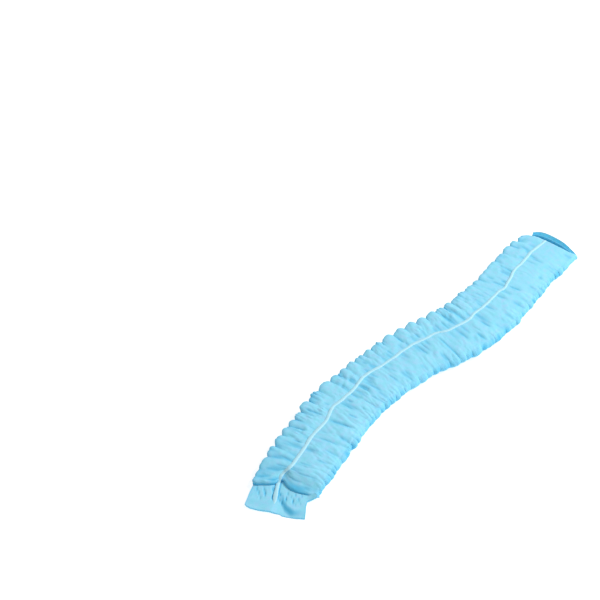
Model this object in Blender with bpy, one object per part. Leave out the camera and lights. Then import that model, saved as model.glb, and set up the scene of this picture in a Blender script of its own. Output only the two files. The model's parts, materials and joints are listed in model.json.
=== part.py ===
"""A bouffant cap in its flat, folded strip form, as it lies before it is opened.

One nonwoven web is folded lengthwise into three layers, like a letter Z seen from the end, and
gathered along its length by an elastic near each of its two long edges. Both ends of the strip are
pressed and welded into thin flaps. The strip lies on a surface and bends gently in plan.

Units are metres and +Z is up. The near end, the frill edge and the fold edge point to -X, +Y and -Y.
"""

import math
from collections import namedtuple

import bmesh
import bpy
import numpy as np
from mathutils import Vector

# The gathered body between the two welded ends
BODY_LENGTH = 0.232
BODY_WIDTH = 0.033
WALL = 0.0012
FOLD_GAP = 0.0005
GATHER_COUNT = 35

# The edges: how deep the notches between two gathers cut in, and how far a lower edge lies back
FRILL_NOTCH = 0.0015
FOLD_NOTCH = 0.0009
EDGE_STEP = 0.0012

# The elastics lie in a groove of the web, a little below the tops of the gathers
ELASTIC_DIAMETER = 0.0010
ELASTIC_CLEARANCE = 0.0003
ELASTIC_SINK = 0.0001

# The creases between gathers curve back towards the near end by this much at the edges
CREASE_SWEEP = 0.0030

# The welded end flaps
SEAL_LENGTH = 0.0160
SEAL_THICKNESS = 0.0012

# Sizes that follow from those above
GROOVE_WIDTH = 5 * ELASTIC_DIAMETER
LAYER_STEP = WALL + FOLD_GAP
RIDGE_RELIEF = ELASTIC_DIAMETER + ELASTIC_CLEARANCE + ELASTIC_SINK
MIDDLE_HEIGHT = RIDGE_RELIEF + LAYER_STEP + WALL / 2
ELASTIC_LIFT = WALL / 2 + ELASTIC_CLEARANCE + ELASTIC_DIAMETER / 2

# along is a share of BODY_LENGTH, width a share of BODY_WIDTH, elastic a share across from the frill
Bend = namedtuple("Bend", "along heading_degrees width elastic")
BENDS = [
    Bend(0.00, 18, 0.98, 0.37),
    Bend(0.04, 12, 1.00, 0.41),
    Bend(0.10, 9, 1.01, 0.42),
    Bend(0.22, 8, 1.00, 0.40),
    Bend(0.35, -2, 0.97, 0.36),
    Bend(0.44, -9, 0.97, 0.38),
    Bend(0.49, -11, 1.00, 0.37),
    Bend(0.55, -18, 1.04, 0.38),
    Bend(0.60, -18, 1.07, 0.41),
    Bend(0.66, -9, 1.05, 0.44),
    Bend(0.73, 0, 1.03, 0.43),
    Bend(0.80, 5, 0.98, 0.46),
    Bend(0.86, 6, 0.97, 0.41),
    Bend(0.96, -2, 0.98, 0.38),
    Bend(1.00, -3, 0.94, 0.38),
]

# reach is a share of SEAL_LENGTH beyond the body's end. height is 1 at the web's outer faces and 0 at
# the flat flap. lift raises the flap, as a share of SEAL_LENGTH. The sides are shares of half the width.
Weld = namedtuple("Weld", "reach height lift frill_side fold_side")
NEAR_ROWS = [
    Weld(-0.09, 0.93, 0.00, 0.95, 0.95),
    Weld(0.02, 0.90, 0.00, 0.96, 0.93),
    Weld(0.06, 0.72, 0.00, 0.98, 0.86),
    Weld(0.10, 0.40, 0.00, 1.00, 0.76),
    Weld(0.14, 0.12, 0.00, 1.01, 0.68),
    Weld(0.20, 0.00, 0.00, 1.02, 0.66),
    Weld(0.60, 0.00, 0.00, 1.03, 0.72),
    Weld(1.00, 0.00, 0.00, 1.03, 0.82),
]
FAR_ROWS = [
    Weld(-0.09, 0.93, 0.00, 0.95, 0.95),
    Weld(0.02, 0.90, 0.00, 0.95, 0.95),
    Weld(0.06, 0.72, 0.00, 0.93, 0.94),
    Weld(0.10, 0.40, 0.00, 0.92, 0.93),
    Weld(0.14, 0.12, 0.00, 0.91, 0.92),
    Weld(0.20, 0.00, 0.00, 0.90, 0.91),
    Weld(0.50, 0.00, 0.01, 0.92, 0.90),
    Weld(0.86, 0.00, 0.05, 0.94, 0.90),
]

# end is -1 near and 1 far. A flap is longest at its crown, a share of half the width to the left of the
# centre line, and trim is the share of its length that is missing half a width away from there.
Seal = namedtuple("Seal", "end crown trim rows")
NEAR_SEAL = Seal(-1, -0.30, 0.07, NEAR_ROWS)
FAR_SEAL = Seal(1, 0.36, 0.34, FAR_ROWS)

# Where the web's faces have their points, as shares across from the frill edge
TOP_COLUMNS = (0.20, 0.70)
UNDER_COLUMNS = (0.35, 0.80)
SEAL_COLUMNS = (0.22, 0.70)
FOLD_START = 0.05
FOLD_ARC_DEGREES = (50, 0, -50)
STATIONS_PER_GATHER = 4
LINE_SAMPLES = 600

# How the gathers differ: wider ones at the near end, lower ones in between and at the fold side
PITCH_DRIFT = 0.035
HEIGHT_VARIATION = 0.22
VARIATION_STEP = 2.4
FOLD_ROUNDING = 0.35

# The upper elastic ends this share of a flap beyond the body, the lower one this many gathers inside it
ELASTIC_TAIL = 0.60
LOWER_ELASTIC_INSET = 0.2
ELASTIC_POINTS = 56

# Faces that meet at less than this angle are shaded as one smooth surface
SMOOTH_DEGREES = 45

CLOTH_COLOUR = (0.27, 0.66, 0.88, 1)
CLOTH_ROUGHNESS = 0.8
ELASTIC_COLOUR = (0.74, 0.90, 0.95, 1)
ELASTIC_ROUGHNESS = 0.6


def bend(column, along):
    """One column of the bends at this share of the length."""
    return float(np.interp(along, [row.along for row in BENDS], [getattr(row, column) for row in BENDS]))


def centre_line():
    """Distances along the strip, with the place and heading there. It runs on straight past both ends."""
    beyond = 2 * SEAL_LENGTH
    distance = np.linspace(-beyond, BODY_LENGTH + beyond, LINE_SAMPLES)
    heading = np.radians([bend("heading_degrees", value / BODY_LENGTH) for value in distance])
    step = distance[1] - distance[0]
    x = np.cumsum(np.cos(heading)) * step
    y = np.cumsum(np.sin(heading)) * step
    return distance, x, y, heading


LINE = centre_line()


def plan(distance, left, height):
    """The point this far along the strip, this far to the left of its centre line, and this high."""
    x, y, heading = (float(np.interp(distance, LINE[0], values)) for values in LINE[1:])
    return Vector((x - left * math.sin(heading), y + left * math.cos(heading), height))


def along_of(phase):
    """The share of the length at which a gather phase lies: whole numbers are creases."""
    even = (phase - 0.5) / (GATHER_COUNT - 1)
    return even + PITCH_DRIFT * math.sin(math.pi * even)


def lobe(phase):
    """0 in the crease between two gathers and 1 on the ridge of a gather."""
    return abs(math.sin(math.pi * phase))


def groove(across, elastic):
    """0 under an elastic, rising to 1 at the sides of its groove."""
    offset = (across - elastic) * BODY_WIDTH / (GROOVE_WIDTH / 2)
    return 1 - math.exp(-offset * offset)


def top_relief(phase, across):
    """How far a gather lifts the top layer above its crease: uneven from gather to gather."""
    uneven = 1 - HEIGHT_VARIATION * (0.5 + 0.5 * math.sin(VARIATION_STEP * math.floor(phase)))
    crown = 1 - FOLD_ROUNDING * across ** 4
    return RIDGE_RELIEF * lobe(phase) * uneven * crown * groove(across, bend("elastic", along_of(phase)))


def under_relief(phase, across):
    """How far a gather pushes the lowest layer down, as far as the surface that the strip lies on."""
    return RIDGE_RELIEF * lobe(phase) * groove(across, 1 - bend("elastic", along_of(phase)))


def top_height(phase, across):
    return MIDDLE_HEIGHT + LAYER_STEP + top_relief(phase, across)


def under_height(phase, across):
    return MIDDLE_HEIGHT - LAYER_STEP - under_relief(phase, across)


def half_width(phase):
    return BODY_WIDTH / 2 * bend("width", along_of(phase))


def web_point(phase, left, height):
    """A point of the web. Its crease line is swept back to the near end, but stays square at the ends."""
    along = along_of(phase)
    across = 0.5 - left / (2 * half_width(phase))
    elastic = bend("elastic", along)
    from_elastic = (across - elastic) / (elastic if across < elastic else 1 - elastic)
    square_at_ends = min(1, along * GATHER_COUNT / 2, (1 - along) * GATHER_COUNT / 2)
    sweep = CREASE_SWEEP * from_elastic ** 2 * square_at_ends
    return plan(along * BODY_LENGTH - sweep, left, height)


def fold_arc(side, apex, upper, lower):
    """The outer and inner points of the fold that joins two layers, from the upper one to the lower.

    side is 1 for a fold on the frill side and -1 on the fold side, and apex is its outermost place."""
    middle = (upper + lower) / 2
    outer = (upper - lower) / 2 + WALL / 2
    inner = outer - WALL
    centre = apex - side * outer
    outside = [(centre, middle + outer)]
    for angle in map(math.radians, FOLD_ARC_DEGREES):
        outside.append((centre + side * outer * math.cos(angle), middle + outer * math.sin(angle)))
    outside.append((centre, middle - outer))
    inside = [(centre, middle + inner), (centre + side * inner, middle), (centre, middle - inner)]
    return outside, inside


def layer_points(phase, columns, height, offset):
    """Points across one layer, at its centre height plus an offset."""
    half = half_width(phase)
    return [(half * (1 - 2 * across), height(phase, across) + offset) for across in columns]


def section(phase):
    """The closed outline of the folded web at one station, as pairs of left and height."""
    half = half_width(phase)
    notch = 1 - lobe(phase)
    elastic = bend("elastic", along_of(phase))
    beside = GROOVE_WIDTH / 4 / BODY_WIDTH
    frill_edge = half - FRILL_NOTCH * notch
    fold_edge = -half + FOLD_NOTCH * notch
    skin = WALL / 2

    right_out, right_in = fold_arc(-1, fold_edge, top_height(phase, 1 - FOLD_START), MIDDLE_HEIGHT)
    left_out, left_in = fold_arc(1, frill_edge - EDGE_STEP, MIDDLE_HEIGHT, under_height(phase, FOLD_START))

    top_columns = (TOP_COLUMNS[0], elastic - beside, elastic, elastic + beside, TOP_COLUMNS[1])
    top_face = [(frill_edge, top_height(phase, 0) + skin)]
    top_face += layer_points(phase, top_columns, top_height, skin)
    top_inside = [(frill_edge, top_height(phase, 0) - skin)]
    top_inside += layer_points(phase, (TOP_COLUMNS[0], elastic, TOP_COLUMNS[1]), top_height, -skin)

    under_columns = (UNDER_COLUMNS[0], 1 - elastic, UNDER_COLUMNS[1])
    under_edge = fold_edge + EDGE_STEP
    under_inside = layer_points(phase, under_columns, under_height, skin)
    under_inside.append((under_edge, under_height(phase, 1) + skin))
    under_face = layer_points(phase, under_columns, under_height, -skin)
    under_face.append((under_edge, under_height(phase, 1) - skin))

    first_side = top_face + right_out + left_in + under_inside
    second_side = under_face[::-1] + left_out[::-1] + right_in[::-1] + top_inside[::-1]
    return first_side + second_side


def loft(name, rings, ladder_ends=False):
    """A closed mesh object through rings of points, with both ends filled.

    An end is one face, or a ladder of faces from the first half of its ring to the second."""
    shape = bmesh.new()
    loops = [[shape.verts.new(point) for point in ring] for ring in rings]
    for ring, following in zip(loops, loops[1:]):
        for corner in range(len(ring)):
            beside = (corner + 1) % len(ring)
            shape.faces.new((ring[corner], ring[beside], following[beside], following[corner]))
    for ring in (loops[0], loops[-1]):
        if ladder_ends:
            for rung in range(len(ring) // 2 - 1):
                shape.faces.new((ring[rung], ring[rung + 1], ring[-rung - 2], ring[-rung - 1]))
        else:
            shape.faces.new(ring)
    bmesh.ops.recalc_face_normals(shape, faces=shape.faces)
    mesh = bpy.data.meshes.new(name)
    shape.to_mesh(mesh)
    shape.free()
    mesh.shade_smooth()
    mesh.set_sharp_from_angle(angle=math.radians(SMOOTH_DEGREES))
    piece = bpy.data.objects.new(name, mesh)
    bpy.context.scene.collection.objects.link(piece)
    return piece


def seal_top(row, phase, across):
    """The upper face of a welded end: inside the top layer at the body and down to the flat flap."""
    flap = SEAL_THICKNESS + row.lift * SEAL_LENGTH
    return flap + row.height * (top_height(phase, across) - flap)


def seal_under(row, phase, across):
    """The lower face of a welded end: inside the lowest layer at the body and flat under the flap."""
    return row.lift * SEAL_LENGTH + row.height * under_height(phase, across)


def end_distance(end, reach):
    """The distance along the strip that lies this share of a seal beyond an end: -1 near, 1 far."""
    return (BODY_LENGTH if end > 0 else 0) + end * reach * SEAL_LENGTH


def end_phase(end):
    return GATHER_COUNT - 0.5 if end > 0 else 0.5


def seal_rings(seal):
    """The sections of a welded end, from inside the body out to the curved cut edge."""
    phase = end_phase(seal.end)
    half = half_width(phase)
    elastic = bend("elastic", along_of(phase))
    columns = (SEAL_COLUMNS[0], elastic, 1 - elastic, SEAL_COLUMNS[1])
    rings = []
    for row in seal.rows:
        sides = [half * row.frill_side]
        sides += [half * (1 - 2 * across) * (row.frill_side + row.fold_side) / 2 for across in sorted(columns)]
        sides.append(-half * row.fold_side)
        ring = []
        for height, order in ((seal_top, sides), (seal_under, sides[::-1])):
            for left in order:
                across = 0.5 - left / (2 * half)
                trimmed = 1 - seal.trim * (left / half - seal.crown) ** 2 * max(row.reach, 0)
                place = end_distance(seal.end, row.reach * trimmed)
                ring.append(plan(place, left, height(row, phase, across)))
        rings.append(ring)
    return rings


def offset_path(points, distance):
    """A path of (along, height) points moved to its left by a distance, with mitred corners."""
    path = [Vector(point) for point in points]
    moved = []
    for index, point in enumerate(path):
        before = (point - path[index - 1]).normalized() if index else None
        after = (path[index + 1] - point).normalized() if index + 1 < len(path) else None
        before, after = before or after, after or before
        normal = Vector((-before.y - after.y, before.x + after.x)).normalized()
        spread = normal.dot(Vector((-before.y, before.x)))
        moved.append(point + normal * distance / spread)
    return moved


def elastic_tail(seal):
    """The stretch of the upper elastic that runs down over an end of the body and out on its flap."""
    phase = end_phase(seal.end)
    along = along_of(phase)
    across = bend("elastic", along)
    left = half_width(phase) * (1 - 2 * across)
    body_top = MIDDLE_HEIGHT + LAYER_STEP + WALL / 2
    profile = [(seal.rows[0].reach * SEAL_LENGTH, body_top), (0, body_top)]
    for row in seal.rows[1:-2]:
        profile.append((row.reach * SEAL_LENGTH, seal_top(row, phase, across)))
    lift = float(np.interp(ELASTIC_TAIL, [row.reach for row in seal.rows], [row.lift for row in seal.rows]))
    profile.append((ELASTIC_TAIL * SEAL_LENGTH, SEAL_THICKNESS + lift * SEAL_LENGTH))
    moved = offset_path(profile, ELASTIC_CLEARANCE + ELASTIC_DIAMETER / 2)
    origin = end_distance(seal.end, 0)
    return [plan(origin + seal.end * out, left, height) for out, height in moved[1:]]


def tube(name, points):
    """A round elastic as a curve with filled ends."""
    curve = bpy.data.curves.new(name, "CURVE")
    curve.dimensions = "3D"
    curve.bevel_depth = ELASTIC_DIAMETER / 2
    curve.bevel_resolution = 1
    curve.use_fill_caps = True
    spline = curve.splines.new("POLY")
    spline.points.add(len(points) - 1)
    for spot, point in zip(spline.points, points):
        spot.co = (*point, 1)
    piece = bpy.data.objects.new(name, curve)
    bpy.context.scene.collection.objects.link(piece)
    return piece


def upper_elastic():
    """The elastic on top, which holds the gathers and ends on both welded flaps."""
    height = MIDDLE_HEIGHT + LAYER_STEP + ELASTIC_LIFT
    points = elastic_tail(NEAR_SEAL)[::-1]
    for phase in np.linspace(1, GATHER_COUNT - 1, ELASTIC_POINTS):
        across = bend("elastic", along_of(phase))
        points.append(web_point(phase, half_width(phase) * (1 - 2 * across), height))
    points += elastic_tail(FAR_SEAL)
    return tube("upper_elastic", points)


def lower_elastic():
    """The elastic below, near the web's other long edge. It stays just above the resting surface."""
    height = MIDDLE_HEIGHT - LAYER_STEP - ELASTIC_LIFT
    points = []
    first = end_phase(-1) + LOWER_ELASTIC_INSET
    last = end_phase(1) - LOWER_ELASTIC_INSET
    for phase in np.linspace(first, last, ELASTIC_POINTS):
        across = 1 - bend("elastic", along_of(phase))
        points.append(web_point(phase, half_width(phase) * (1 - 2 * across), height))
    return tube("lower_elastic", points)


def cap_web():
    """The whole web: its gathered layers, and the welded ends joined on."""
    count = (GATHER_COUNT - 1) * STATIONS_PER_GATHER + 1
    rings = []
    for phase in np.linspace(0.5, GATHER_COUNT - 0.5, count):
        rings.append([web_point(phase, left, height) for left, height in section(phase)])
    web = loft("cap_web", rings)
    for name, seal in (("near_seal_shape", NEAR_SEAL), ("far_seal_shape", FAR_SEAL)):
        shape = loft(name, seal_rings(seal), ladder_ends=True)
        shape.hide_render = True
        shape.display_type = "WIRE"
        join = web.modifiers.new("join_" + name, "BOOLEAN")
        join.operation = "UNION"
        join.object = shape
    return web


def finish(piece, name, colour, roughness):
    """Gives a piece its own material."""
    material = bpy.data.materials.new(name)
    material.use_nodes = True
    shader = material.node_tree.nodes["Principled BSDF"]
    shader.inputs["Base Color"].default_value = colour
    shader.inputs["Roughness"].default_value = roughness
    shader.inputs["Metallic"].default_value = 0
    piece.data.materials.append(material)


def box_centre():
    """The middle of the strip's outline in plan, from every point of its meshes."""
    points = [vert.co for mesh in bpy.data.meshes for vert in mesh.vertices]
    lowest = [min(point[axis] for point in points) for axis in range(2)]
    highest = [max(point[axis] for point in points) for axis in range(2)]
    return Vector(((lowest[0] + highest[0]) / 2, (lowest[1] + highest[1]) / 2, 0))


for old in list(bpy.data.objects):
    bpy.data.objects.remove(old)
for old in list(bpy.data.meshes):
    bpy.data.meshes.remove(old)

web = cap_web()
finish(web, "blue_nonwoven", CLOTH_COLOUR, CLOTH_ROUGHNESS)
finish(upper_elastic(), "upper_white_elastic", ELASTIC_COLOUR, ELASTIC_ROUGHNESS)
finish(lower_elastic(), "lower_white_elastic", ELASTIC_COLOUR, ELASTIC_ROUGHNESS)

stand = bpy.data.objects.new("strip_place", None)
bpy.context.scene.collection.objects.link(stand)
stand.location = -box_centre()
for piece in list(bpy.context.scene.collection.objects):
    if piece is not stand:
        piece.parent = stand
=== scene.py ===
# %% [markdown]
# # A folded bouffant cap
#
# A disposable bouffant cap is sold as a narrow strip: one sheet of thin blue nonwoven, pleated lengthwise,
# gathered on two fine elastics and welded flat at both ends. This lesson dresses the packed CAD model of
# such a strip. The CAD solids give the size, the gentle S that the strip lies in and the place of every
# piece. What follows replaces them with real cloth: thin walls, puffed gathers, sharp creases and welds.

# %% Load the packed model
import json
import math
from collections import namedtuple

import bpy
import numpy as np
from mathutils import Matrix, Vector

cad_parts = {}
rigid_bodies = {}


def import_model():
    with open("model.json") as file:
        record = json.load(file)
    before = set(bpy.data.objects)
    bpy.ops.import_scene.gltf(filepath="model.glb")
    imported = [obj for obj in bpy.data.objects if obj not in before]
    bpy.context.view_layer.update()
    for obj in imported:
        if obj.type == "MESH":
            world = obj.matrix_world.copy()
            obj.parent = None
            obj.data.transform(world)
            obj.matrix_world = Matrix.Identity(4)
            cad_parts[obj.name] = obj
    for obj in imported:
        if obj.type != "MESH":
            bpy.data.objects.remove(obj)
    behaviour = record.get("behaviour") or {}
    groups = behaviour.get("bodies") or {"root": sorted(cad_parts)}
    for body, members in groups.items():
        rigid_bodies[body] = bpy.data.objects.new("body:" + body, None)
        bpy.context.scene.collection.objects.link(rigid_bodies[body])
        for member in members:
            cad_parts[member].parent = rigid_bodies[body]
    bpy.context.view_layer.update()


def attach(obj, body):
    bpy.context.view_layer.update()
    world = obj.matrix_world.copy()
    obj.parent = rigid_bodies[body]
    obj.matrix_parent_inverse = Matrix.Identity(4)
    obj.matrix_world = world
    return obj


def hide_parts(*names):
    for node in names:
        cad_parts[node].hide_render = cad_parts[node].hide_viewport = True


MM = 0.001
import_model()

# %% [markdown]
# ## The camera
#
# The photograph looks down on a table at about 40 degrees through a long lens, so lines that are parallel
# on the table stay nearly parallel in the picture. A camera object is aimed with a quaternion that turns
# its own -Z axis towards the target and keeps its Y axis up.

# %% Camera at the photograph's angle
CAMERA_PLACE = Vector((-0.7685, -0.4980, 0.7966))
CAMERA_TARGET = Vector((0.0069, 0.0787, 0.0))
LENS_MM = 144
SENSOR_MM = 36


def aimed(thing, place, target):
    """Put a camera or a lamp somewhere and turn it towards a point."""
    thing.location = place
    thing.rotation_mode = "QUATERNION"
    thing.rotation_quaternion = (Vector(target) - Vector(place)).to_track_quat("-Z", "Y")
    bpy.context.scene.collection.objects.link(thing)


camera_data = bpy.data.cameras.new("photo_camera")
camera_data.lens = LENS_MM
camera_data.sensor_width = SENSOR_MM
camera_data.clip_start = 0.05
camera_data.clip_end = 20
camera = bpy.data.objects.new("photo_camera", camera_data)
aimed(camera, CAMERA_PLACE, CAMERA_TARGET)
bpy.context.scene.camera = camera
print("camera distance in m:", round((CAMERA_TARGET - CAMERA_PLACE).length, 3))

# %% [markdown]
# ## The line that the strip follows
#
# The strip doesn't lie straight. Its heading changes slowly, and a short table says how: the heading, the
# width and the place of the elastic at a few shares of the length. Adding up small steps in the direction
# of the heading gives the centre line. Any point of the cloth is then a distance along that line, a
# distance to its left, and a height. These are the CAD's own sizes, so both models lie on each other.

# %% The strip's path
BODY_LENGTH = 0.232
BODY_WIDTH = 0.033
SEAL_LENGTH = 0.0160
NEAR_END = (-0.1124, -0.0024)
LINE_SAMPLES = 600

Bend = namedtuple("Bend", "along heading_degrees width elastic")
BENDS = [
    Bend(0.00, 18, 0.98, 0.37),
    Bend(0.04, 12, 1.00, 0.41),
    Bend(0.10, 9, 1.01, 0.42),
    Bend(0.22, 8, 1.00, 0.40),
    Bend(0.35, -2, 0.97, 0.36),
    Bend(0.44, -9, 0.97, 0.38),
    Bend(0.49, -11, 1.00, 0.37),
    Bend(0.55, -18, 1.04, 0.38),
    Bend(0.60, -18, 1.07, 0.41),
    Bend(0.66, -9, 1.05, 0.44),
    Bend(0.73, 0, 1.03, 0.43),
    Bend(0.80, 5, 0.98, 0.46),
    Bend(0.86, 6, 0.97, 0.41),
    Bend(0.96, -2, 0.98, 0.38),
    Bend(1.00, -3, 0.94, 0.38),
]


def bend(column, distance):
    """One column of the bends at these distances along the body."""
    return np.interp(
        np.asarray(distance) / BODY_LENGTH,
        [row.along for row in BENDS],
        [getattr(row, column) for row in BENDS],
    )


def half_width(along):
    """Half the body's width at these distances along it."""
    return BODY_WIDTH / 2 * bend("width", along)


def centre_line():
    """Distances along the strip with the place and heading there, straight past both ends."""
    beyond = 2 * SEAL_LENGTH
    distance = np.linspace(-beyond, BODY_LENGTH + beyond, LINE_SAMPLES)
    heading = np.radians(bend("heading_degrees", distance))
    step = distance[1] - distance[0]
    x = np.cumsum(np.cos(heading)) * step
    y = np.cumsum(np.sin(heading)) * step
    x += NEAR_END[0] - np.interp(0, distance, x)
    y += NEAR_END[1] - np.interp(0, distance, y)
    return distance, x, y, heading


LINE = centre_line()


def plan(distance, left, height):
    """Points this far along the strip, this far left of its centre line and this high."""
    x, y, heading = (np.interp(distance, LINE[0], values) for values in LINE[1:])
    return np.stack([x - left * np.sin(heading), y + left * np.cos(heading), height], axis=-1)


print("far end of the body in mm:", (plan(BODY_LENGTH, 0, 0) / MM).round(1))

# %% [markdown]
# ## Smooth helpers
#
# Cloth that looks hand-made varies at several scales: some gathers stand higher, and every panel has faint
# dents. Value noise is the simplest source: random numbers on a grid, blended smoothly between the grid
# points. Numpy works it out for a whole sheet at once. A running average takes the corners off a line
# that is given by a few chosen points. Ramps, bells and short tables let one form fade into the next.

# %% Value noise
NOISE_GRID = 256


def soft_noise(x, y, seed):
    """Smooth noise from -1 to 1 with one bump per unit of x and y."""
    values = np.random.default_rng(seed).uniform(-1, 1, (NOISE_GRID, NOISE_GRID))
    column, row = np.floor(x).astype(int), np.floor(y).astype(int)
    dx, dy = x - column, y - row
    dx, dy = dx * dx * (3 - 2 * dx), dy * dy * (3 - 2 * dy)
    column, row = column % NOISE_GRID, row % NOISE_GRID
    next_column, next_row = (column + 1) % NOISE_GRID, (row + 1) % NOISE_GRID
    first = values[row, column] * (1 - dx) + values[row, next_column] * dx
    second = values[next_row, column] * (1 - dx) + values[next_row, next_column] * dx
    return first * (1 - dy) + second * dy


print("the noise has", NOISE_GRID, "by", NOISE_GRID, "random numbers")

# %% Smooth lines
CURVE_SAMPLES = 301
CURVE_SMOOTHING = 13


def smoothed(values, width):
    """A running average over an odd number of neighbours, down the first axis."""
    kernel = np.hanning(width + 2)[1:-1]
    kernel /= kernel.sum()
    padded = np.pad(values, [(width // 2, width // 2)] + [(0, 0)] * (values.ndim - 1), mode="edge")
    return sum(share * padded[shift:shift + len(values)] for shift, share in enumerate(kernel))


def curve(at, points):
    """A soft line through a few chosen points, given in mm, at these places in metres."""
    places, values = np.array(points, dtype=float).T * MM
    fine = np.linspace(places[0], places[-1], CURVE_SAMPLES)
    return np.interp(at, fine, smoothed(np.interp(fine, places, values), CURVE_SMOOTHING))


peak = curve(0, [(-9, 0), (0, 10), (9, 0)]) / MM
print("a peak of 10 mm between 0 and 0 is rounded to", round(float(peak), 2), "mm")

# %% Ramps, bells and tables
def ramp(value, start, end):
    """0 at the start, 1 at the end, straight in between and level past both. The end may be the lower one."""
    return np.clip((value - start) / (end - start), 0, 1)


def bell(value, place, width):
    """A bump: 1 at its place, about a third a width away and next to nothing two widths away."""
    return np.exp(-(((value - place) / width) ** 2))


def table(at, rows):
    """The second column of a short table at these places of its first, with straight lines between."""
    return np.interp(at, *zip(*rows))


print("a ramp from 2 to 4, at 3:", ramp(3, 2, 4), "and a bell, a width off:", bell(1, 0, 1).round(2))

# %% [markdown]
# ## Where the elastic runs
#
# The elastic pulls the cloth together, and the cloth pushes back, so the thread wanders a little from side
# to side. The CAD thread follows the bends' table. Here more points, read off the photograph, move it by up
# to 1.4 mm. The lines between them are straight, since a soft curve would iron out the kinks.

# %% The elastic's wander
Wander = namedtuple("Wander", "along_mm left_mm")
WANDER = [
    Wander(1, 1.4), Wander(4, 1.3), Wander(7, 0.8), Wander(10, 0.2), Wander(13, -0.3), Wander(17, -0.1),
    Wander(22, 0.0), Wander(26, 0.1), Wander(30, 0.4), Wander(33, 0.6), Wander(37, 0.5), Wander(40, 0.1),
    Wander(44, -0.4), Wander(48, -0.7), Wander(52, 0.0), Wander(55, 0.7), Wander(58, 1.0), Wander(60, 0.8),
    Wander(62, 0.1), Wander(64, -0.3), Wander(69, -0.7), Wander(72, -1.1), Wander(76, -0.9), Wander(80, -0.3),
    Wander(84, 0.5), Wander(89, 0.4), Wander(92, 0.2), Wander(94, -0.2), Wander(98, -0.4), Wander(102, -0.1),
    Wander(106, -0.4), Wander(110, 0.0), Wander(114, -0.1), Wander(119, 0.4), Wander(122, 0.2),
    Wander(125, -0.1), Wander(128, 0.0), Wander(132, 0.8), Wander(135, 0.7), Wander(137, -0.1),
    Wander(140, -0.7), Wander(145, -0.2), Wander(150, -0.2), Wander(156, -0.2), Wander(160, 0.8),
    Wander(163, 0.7), Wander(167, 0.2), Wander(172, 0.3), Wander(175, 0.6), Wander(180, 0.8),
    Wander(184, 1.0), Wander(186, 0.1), Wander(188, -0.5), Wander(192, -0.2), Wander(198, -0.2),
    Wander(202, 0.5), Wander(206, 0.5), Wander(210, -0.2), Wander(213, 0.0), Wander(217, 0.1),
    Wander(220, 0.5), Wander(225, 0.3), Wander(229, 0.1), Wander(233, 0.4),
]


def elastic_place(along):
    """How far left of the centre line the upper elastic runs."""
    return half_width(along) * (1 - 2 * bend("elastic", along)) + MM * table(along / MM, WANDER)


print("elastic left of the middle in mm:", (elastic_place(np.linspace(0, BODY_LENGTH, 5)) / MM).round(1))

# %% [markdown]
# ## Both ends
#
# At each end all the layers meet in a weld, and the body bulges out over it. A bulge is part of an
# ellipse: the angle runs from 0 on top of the body, past 90 degrees at the furthest point, to where the
# cloth has tucked back under. The line of the bulge isn't straight in plan either: the near end has a
# notch where the elastic pulls, and the far one is bowed. Both lines were read off.

# %% Bulges over the welds
End = namedtuple("End", "radius bulge last_degrees thinning line")
NEAR = End(
    radius=1.6 * MM,
    bulge=0.7 * MM,
    last_degrees=148,
    thinning=0.62,
    line=[
        (-18, 3.0), (-16.6, 1.9), (-15.6, 0.9), (-14, 0.4), (-12, 0.4), (-8, 0.2), (-5, 0.0), (-1.5, 0.6),
        (1, 2.5), (3.2, 5.0), (4.8, 5.6), (6.0, 3.6), (7.0, 1.6), (9, 0.6), (12, 0.0), (15, -1.1), (18, -1.2),
    ],
)
FAR = End(
    radius=1.5 * MM,
    bulge=0.0,
    last_degrees=150,
    thinning=0.0,
    line=[
        (-18, 7.4), (-16.5, 6.5), (-14, 4.6), (-10, 3.3), (-5, 3.2), (0, 3.1), (4, 3.1), (8, 3.0),
        (11, 2.5), (14.2, 1.2), (16.2, -1.2), (18, -2.2),
    ],
)
WELD_HEIGHT = 1.3 * MM
BODY_HEIGHT = 5.0 * MM
BULGE_ROWS = 13


def bulge_rows(end):
    """How far beyond the body's end each row lies, its share of the height, and its length of cloth."""
    angle = np.radians(np.linspace(0, end.last_degrees, BULGE_ROWS + 1))
    out = end.bulge - end.radius * (1 - np.sin(angle))
    sink = -np.cos(angle[-1])
    swell = (sink + np.cos(angle)) / (1 + sink)
    steps = np.hypot(np.diff(out), BODY_HEIGHT * np.diff(swell))
    return out[1:], swell[1:], np.cumsum(steps) - out[0]


for end in (NEAR, FAR):
    print("rows of a bulge in mm beyond the body:", (bulge_rows(end)[0] / MM).round(1))

# %% [markdown]
# ## Stations along the strip
#
# A sheet is a grid of points, and a station is one line of it across the strip. It knows its distance
# along the body, how much cloth lies before it, its share of the body's height, the half width and the
# elastic's place there, and how close each end is. The effects of an end fade out over 12 mm.

# %% Stations
END_FADE = 12 * MM
Stations = namedtuple("Stations", "along arc swell half elastic near far")


def fade(distance):
    """1 at an end of the body, falling smoothly to 0 further in."""
    share = np.clip(distance / END_FADE, 0, 1)
    return (1 - share) ** 2 * (1 + 2 * share)


def stations_every(spacing):
    """Stations at about this spacing, with the rows of both bulges."""
    near_out, near_swell, near_arc = bulge_rows(NEAR)
    far_out, far_swell, far_arc = bulge_rows(FAR)
    start = NEAR.radius - NEAR.bulge
    end = BODY_LENGTH + FAR.bulge - FAR.radius
    middle = np.linspace(start, end, round((end - start) / spacing))
    along = np.concatenate([-near_out[::-1], middle, BODY_LENGTH + far_out])
    arc = np.concatenate([-near_arc[::-1], middle, BODY_LENGTH + far_arc])
    swell = np.concatenate([near_swell[::-1], np.ones(len(middle)), far_swell])
    near, far = fade(along), fade(BODY_LENGTH - along)
    return Stations(along, arc, swell, half_width(along), elastic_place(along), near, far)


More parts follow.
